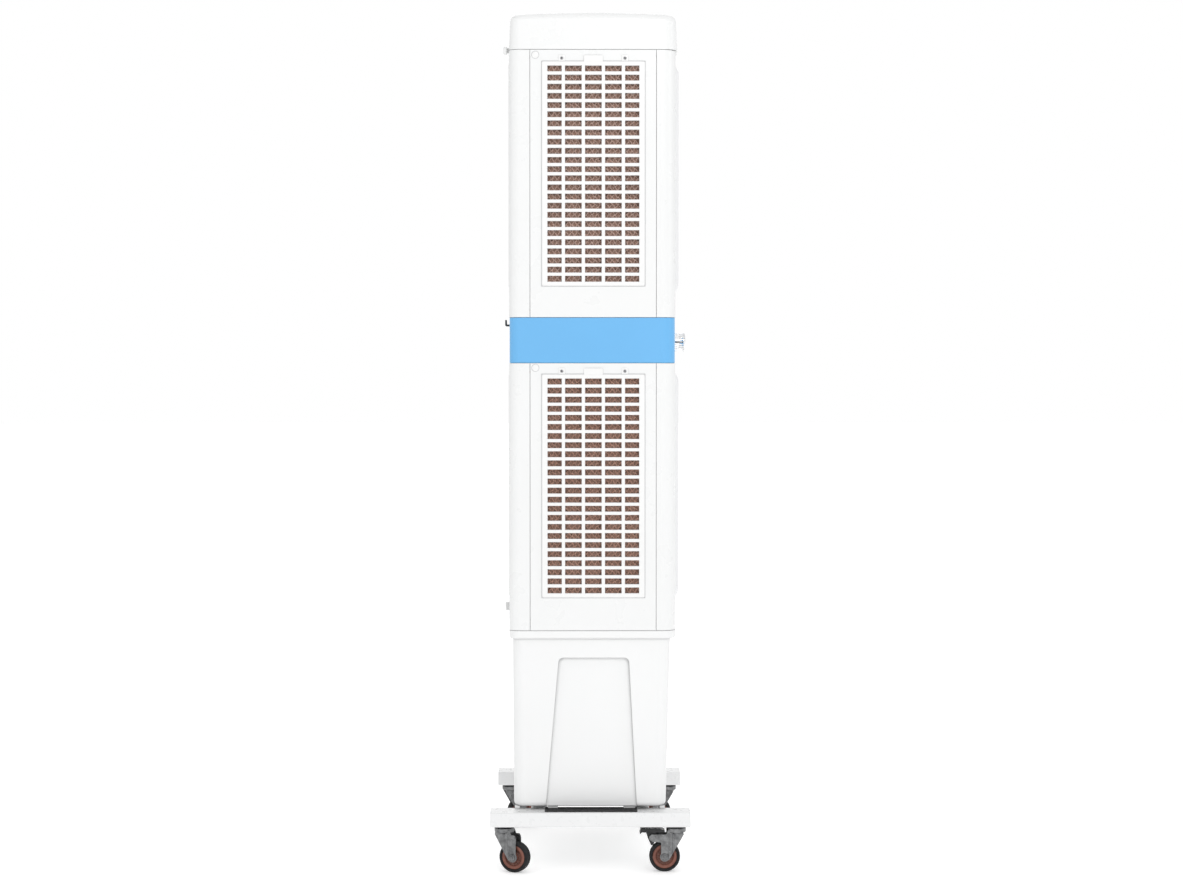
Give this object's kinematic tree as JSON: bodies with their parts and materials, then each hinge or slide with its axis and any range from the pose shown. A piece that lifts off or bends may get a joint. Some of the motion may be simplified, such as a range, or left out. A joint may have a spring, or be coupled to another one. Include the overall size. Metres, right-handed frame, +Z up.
{
  "type": "evaporative cooler",
  "caption": "Tall double-deck evaporative cooler on a caster trolley, with slotted intakes over wet pads, a water tank below and two steerable front outlets.",
  "frame": {"origin": "centre of the footprint at floor level, midway between the trolley rails and their ends", "axes": "+Z up, the air outlets and knob face -Y, left is -X"},
  "size_m": [0.7, 0.4854, 2.0845],
  "materials": {
    "white_plastic": "satin",
    "grille_plastic": "satin",
    "outlet_plastic": "satin",
    "blue_plastic": "gloss",
    "white_paint": "gloss",
    "zinc_steel": "satin",
    "black_steel": "satin",
    "hub_plastic": "satin",
    "tyre_rubber": "matte",
    "cellulose": "matte",
    "motor_metal": "satin",
    "fan_plastic": "satin",
    "dark_plastic": "matte",
    "fitting_plastic": "satin",
    "knob_chrome": "polished",
    "screw_steel": "satin"
  },
  "bodies": {
    "cooler": {"caster_stems": "zinc_steel", "control_band": "blue_plastic", "cooling_pads_lower": "cellulose", "cooling_pads_upper": "cellulose", "fan_motor_lower": "motor_metal", "fan_motor_upper": "motor_metal", "front_panel_lower": "white_plastic", "front_panel_upper": "white_plastic", "outlet_frame_lower": "outlet_plastic", "outlet_frame_upper": "outlet_plastic", "panel_screws": "screw_steel", "pump": "dark_plastic", "rear_fittings": "fitting_plastic", "rear_grille_lower": "grille_plastic", "rear_grille_upper": "grille_plastic", "rear_panel_lower": "white_plastic", "rear_panel_upper": "white_plastic", "rest_strips": "tyre_rubber", "side_grille_left_lower": "grille_plastic", "side_grille_left_upper": "grille_plastic", "side_grille_right_lower": "grille_plastic", "side_grille_right_upper": "grille_plastic", "side_panel_left_lower": "white_plastic", "side_panel_left_upper": "white_plastic", "side_panel_right_lower": "white_plastic", "side_panel_right_upper": "white_plastic", "top_cap": "white_plastic", "trolley_crossbars": "white_paint", "trolley_rail_left": "white_paint", "trolley_rail_right": "white_paint", "water_inlet": "fitting_plastic", "water_pipes": "fitting_plastic", "water_tank": "white_plastic"},
    "swivel_front_left": {"caster_fork_front_left": "zinc_steel"},
    "wheel_front_left": {"caster_hub_front_left": "hub_plastic", "caster_tyre_front_left": "tyre_rubber"},
    "pedal_front_left": {"brake_pedal_front_left": "black_steel"},
    "swivel_front_right": {"caster_fork_front_right": "zinc_steel"},
    "wheel_front_right": {"caster_hub_front_right": "hub_plastic", "caster_tyre_front_right": "tyre_rubber"},
    "pedal_front_right": {"brake_pedal_front_right": "black_steel"},
    "swivel_rear_left": {"caster_fork_rear_left": "zinc_steel"},
    "wheel_rear_left": {"caster_hub_rear_left": "hub_plastic", "caster_tyre_rear_left": "tyre_rubber"},
    "swivel_rear_right": {"caster_fork_rear_right": "zinc_steel"},
    "wheel_rear_right": {"caster_hub_rear_right": "hub_plastic", "caster_tyre_rear_right": "tyre_rubber"},
    "knob": {"control_knob": "knob_chrome"},
    "impeller_lower": {"fan_lower": "fan_plastic"},
    "steering_lower_1": {"vane_lower_1": "outlet_plastic"},
    "steering_lower_2": {"vane_lower_2": "outlet_plastic"},
    "steering_lower_3": {"vane_lower_3": "outlet_plastic"},
    "steering_lower_4": {"vane_lower_4": "outlet_plastic"},
    "impeller_upper": {"fan_upper": "fan_plastic"},
    "steering_upper_1": {"vane_upper_1": "outlet_plastic"},
    "steering_upper_2": {"vane_upper_2": "outlet_plastic"},
    "steering_upper_3": {"vane_upper_3": "outlet_plastic"},
    "steering_upper_4": {"vane_upper_4": "outlet_plastic"},
    "float": {"float_arm": "dark_plastic"},
    "drain": {"drain_cap": "fitting_plastic"}
  },
  "joints": [
    {"name": "swivel_turn_front_left", "type": "hinge", "parent": "cooler", "child": "swivel_front_left", "pos_m": [-0.3125, -0.209, 0.1], "axis": [0, 0, 1], "continuous": true},
    {"name": "wheel_roll_front_left", "type": "hinge", "parent": "swivel_front_left", "child": "wheel_front_left", "pos_m": [-0.3125, -0.181, 0.0375], "axis": [1, 0, 0], "continuous": true},
    {"name": "brake_press_front_left", "type": "hinge", "parent": "swivel_front_left", "child": "pedal_front_left", "pos_m": [-0.3125, -0.15, 0.0825], "axis": [-1, 0, 0], "range_deg": [0, 12]},
    {"name": "swivel_turn_front_right", "type": "hinge", "parent": "cooler", "child": "swivel_front_right", "pos_m": [0.3125, -0.209, 0.1], "axis": [0, 0, 1], "continuous": true},
    {"name": "wheel_roll_front_right", "type": "hinge", "parent": "swivel_front_right", "child": "wheel_front_right", "pos_m": [0.31543, -0.18115, 0.0375], "axis": [0.9945, -0.1045, 0], "continuous": true},
    {"name": "brake_press_front_right", "type": "hinge", "parent": "swivel_front_right", "child": "pedal_front_right", "pos_m": [0.31867, -0.15032, 0.0825], "axis": [-0.9945, 0.1045, 0], "range_deg": [0, 12]},
    {"name": "swivel_turn_rear_left", "type": "hinge", "parent": "cooler", "child": "swivel_rear_left", "pos_m": [-0.3125, 0.209, 0.1], "axis": [0, 0, 1], "continuous": true},
    {"name": "wheel_roll_rear_left", "type": "hinge", "parent": "swivel_rear_left", "child": "wheel_rear_left", "pos_m": [-0.32299, 0.18304, 0.0375], "axis": [-0.9272, 0.3746, 0], "continuous": true},
    {"name": "swivel_turn_rear_right", "type": "hinge", "parent": "cooler", "child": "swivel_rear_right", "pos_m": [0.3125, 0.209, 0.1], "axis": [0, 0, 1], "continuous": true},
    {"name": "wheel_roll_rear_right", "type": "hinge", "parent": "swivel_rear_right", "child": "wheel_rear_right", "pos_m": [0.31927, 0.18183, 0.0375], "axis": [-0.9703, -0.2419, 0], "continuous": true},
    {"name": "knob_turn", "type": "hinge", "parent": "cooler", "child": "knob", "pos_m": [0, -0.2074, 1.2923], "axis": [0, -1, 0], "range_deg": [0, 270]},
    {"name": "fan_spin_lower", "type": "hinge", "parent": "cooler", "child": "impeller_lower", "pos_m": [0, -0.057, 0.938], "axis": [0, 1, 0], "continuous": true},
    {"name": "vane_swing_lower_1", "type": "hinge", "parent": "cooler", "child": "steering_lower_1", "pos_m": [-0.165, -0.15, 0.938], "axis": [0, 0, 1], "range_deg": [-35, 35]},
    {"name": "vane_swing_lower_2", "type": "hinge", "parent": "cooler", "child": "steering_lower_2", "pos_m": [-0.055, -0.15, 0.938], "axis": [0, 0, 1], "range_deg": [-35, 35]},
    {"name": "vane_swing_lower_3", "type": "hinge", "parent": "cooler", "child": "steering_lower_3", "pos_m": [0.055, -0.15, 0.938], "axis": [0, 0, 1], "range_deg": [-35, 35]},
    {"name": "vane_swing_lower_4", "type": "hinge", "parent": "cooler", "child": "steering_lower_4", "pos_m": [0.165, -0.15, 0.938], "axis": [0, 0, 1], "range_deg": [-35, 35]},
    {"name": "fan_spin_upper", "type": "hinge", "parent": "cooler", "child": "impeller_upper", "pos_m": [0, -0.057, 1.6872], "axis": [0, 1, 0], "continuous": true},
    {"name": "vane_swing_upper_1", "type": "hinge", "parent": "cooler", "child": "steering_upper_1", "pos_m": [-0.165, -0.15, 1.6872], "axis": [0, 0, 1], "range_deg": [-35, 35]},
    {"name": "vane_swing_upper_2", "type": "hinge", "parent": "cooler", "child": "steering_upper_2", "pos_m": [-0.055, -0.15, 1.6872], "axis": [0, 0, 1], "range_deg": [-35, 35]},
    {"name": "vane_swing_upper_3", "type": "hinge", "parent": "cooler", "child": "steering_upper_3", "pos_m": [0.055, -0.15, 1.6872], "axis": [0, 0, 1], "range_deg": [-35, 35]},
    {"name": "vane_swing_upper_4", "type": "hinge", "parent": "cooler", "child": "steering_upper_4", "pos_m": [0.165, -0.15, 1.6872], "axis": [0, 0, 1], "range_deg": [-35, 35]},
    {"name": "float_rise", "type": "hinge", "parent": "cooler", "child": "float", "pos_m": [-0.15, 0.14, 0.534], "axis": [1, 0, 0], "range_deg": [-35, 0]},
    {"name": "drain_pull", "type": "slide", "parent": "cooler", "child": "drain", "axis": [1, 0, 0], "range_m": [0, 0.03]}
  ],
  "couplings": [
    {"joint": "vane_swing_lower_2", "follows": "vane_swing_lower_1", "ratio": 1},
    {"joint": "vane_swing_lower_3", "follows": "vane_swing_lower_1", "ratio": 1},
    {"joint": "vane_swing_lower_4", "follows": "vane_swing_lower_1", "ratio": 1},
    {"joint": "vane_swing_upper_2", "follows": "vane_swing_upper_1", "ratio": 1},
    {"joint": "vane_swing_upper_3", "follows": "vane_swing_upper_1", "ratio": 1},
    {"joint": "vane_swing_upper_4", "follows": "vane_swing_upper_1", "ratio": 1}
  ]
}
